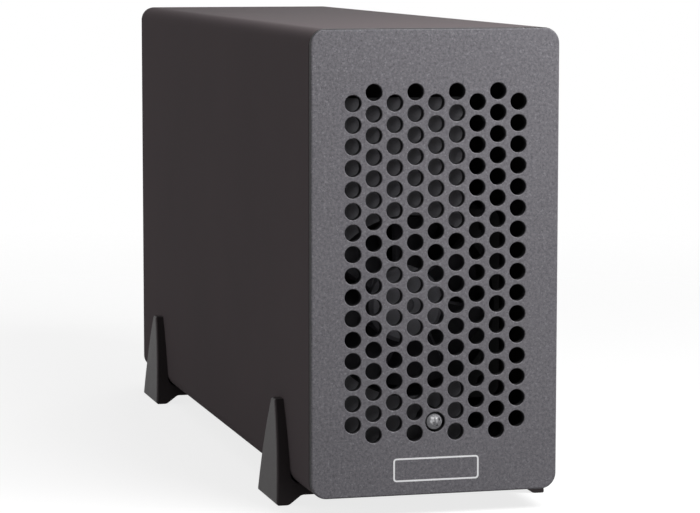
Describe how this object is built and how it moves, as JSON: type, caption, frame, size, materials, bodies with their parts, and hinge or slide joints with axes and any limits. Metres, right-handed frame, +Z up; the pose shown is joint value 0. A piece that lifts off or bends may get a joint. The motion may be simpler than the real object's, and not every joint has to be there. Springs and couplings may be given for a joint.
{
  "type": "pcie expansion chassis",
  "caption": "Compact desktop expansion case with a perforated front panel, a fan behind it, four side feet and a card cage that slides out of the back.",
  "frame": {"origin": "on the surface that the feet stand on, under the middle of the whole object", "axes": "+Z up, -Y out of the perforated front, +Y out of the back, +X to the right seen from the front"},
  "size_m": [0.0898, 0.2972, 0.1526],
  "materials": {
    "sleeve_paint": "smooth matte brown-black paint",
    "panel_paint": "fine-grained grey powder coat",
    "foot_plastic": "moulded, matte",
    "block_aluminium": "machined",
    "plated_sheet": "zinc plated sheet",
    "bracket_sheet": "dull grey coated sheet",
    "fan_plastic": "moulded, satin",
    "rotor_plastic": "moulded, satin grey",
    "screw_steel": "plated",
    "screw_black": "blackened",
    "bearing_bronze": "sintered",
    "stator_steel": "stacked sheet and windings",
    "lead_rubber": "smooth",
    "white_plastic": "moulded",
    "lamp_clear": "clear resin",
    "black_plastic": "moulded",
    "board_laminate": "solder mask",
    "port_steel": "nickel plated",
    "chip_resin": "moulded",
    "pad_rubber": "soft",
    "sink_aluminium": "black anodised",
    "can_aluminium": "bare can",
    "inductor_ferrite": "pressed powder",
    "thumbscrew_nickel": "nickel plated",
    "standoff_brass": "turned"
  },
  "bodies": {
    "case": {"outer_sleeve": "sleeve_paint", "front_panel": "panel_paint", "front_panel_studs": "screw_steel", "front_panel_nuts": "screw_steel", "foot_front_left": "foot_plastic", "foot_front_right": "foot_plastic", "foot_rear_left": "foot_plastic", "foot_rear_right": "foot_plastic", "foot_screws": "screw_steel", "thumbscrew_blocks": "block_aluminium"},
    "cage": {"base_tray": "plated_sheet", "rear_panel": "sleeve_paint", "rear_panel_screws": "screw_steel", "slot_frame": "plated_sheet", "slot_frame_rivets": "screw_steel", "slot_cover": "plated_sheet", "slot_cover_screw": "screw_steel", "thumbscrew_ferrules": "thumbscrew_nickel", "fan_bracket": "bracket_sheet", "fan_bracket_screws": "screw_steel", "fan_frame": "fan_plastic", "fan_bearing": "bearing_bronze", "fan_stator": "stator_steel", "fan_screws": "screw_black", "fan_lead": "lead_rubber", "fan_plug": "white_plastic", "fan_header": "white_plastic", "led_lamp": "lamp_clear", "led_holder": "black_plastic", "led_lead": "lead_rubber", "led_plug": "white_plastic", "led_header": "white_plastic", "main_board": "board_laminate", "board_standoffs": "standoff_brass", "board_screws": "screw_steel", "pcie_slot": "black_plastic", "usb_c_shells": "port_steel", "usb_c_tongues": "black_plastic", "dc_jack": "black_plastic", "dc_jack_pin": "port_steel", "controller_chip": "chip_resin", "thermal_pad": "pad_rubber", "heatsink": "sink_aluminium", "capacitors": "can_aluminium", "inductors": "inductor_ferrite", "regulator_chips": "chip_resin"},
    "fan_rotor": {"fan_rotor": "rotor_plastic", "fan_shaft": "screw_steel"},
    "thumbscrew_left": {"thumbscrew_left": "thumbscrew_nickel"},
    "thumbscrew_right": {"thumbscrew_right": "thumbscrew_nickel"}
  },
  "joints": [
    {"name": "cage_slide", "type": "slide", "parent": "case", "child": "cage", "axis": [0, 1, 0], "range_m": [0, 0.285]},
    {"name": "fan_spin", "type": "hinge", "parent": "cage", "child": "fan_rotor", "pos_m": [-0.0064, -0.126, 0.06538], "axis": [0, 1, 0], "continuous": true},
    {"name": "thumbscrew_left_turn", "type": "hinge", "parent": "cage", "child": "thumbscrew_left", "pos_m": [-0.026, 0.138, 0.1436], "axis": [0, 1, 0], "continuous": true},
    {"name": "thumbscrew_right_turn", "type": "hinge", "parent": "cage", "child": "thumbscrew_right", "pos_m": [0.026, 0.138, 0.1436], "axis": [0, 1, 0], "continuous": true}
  ]
}
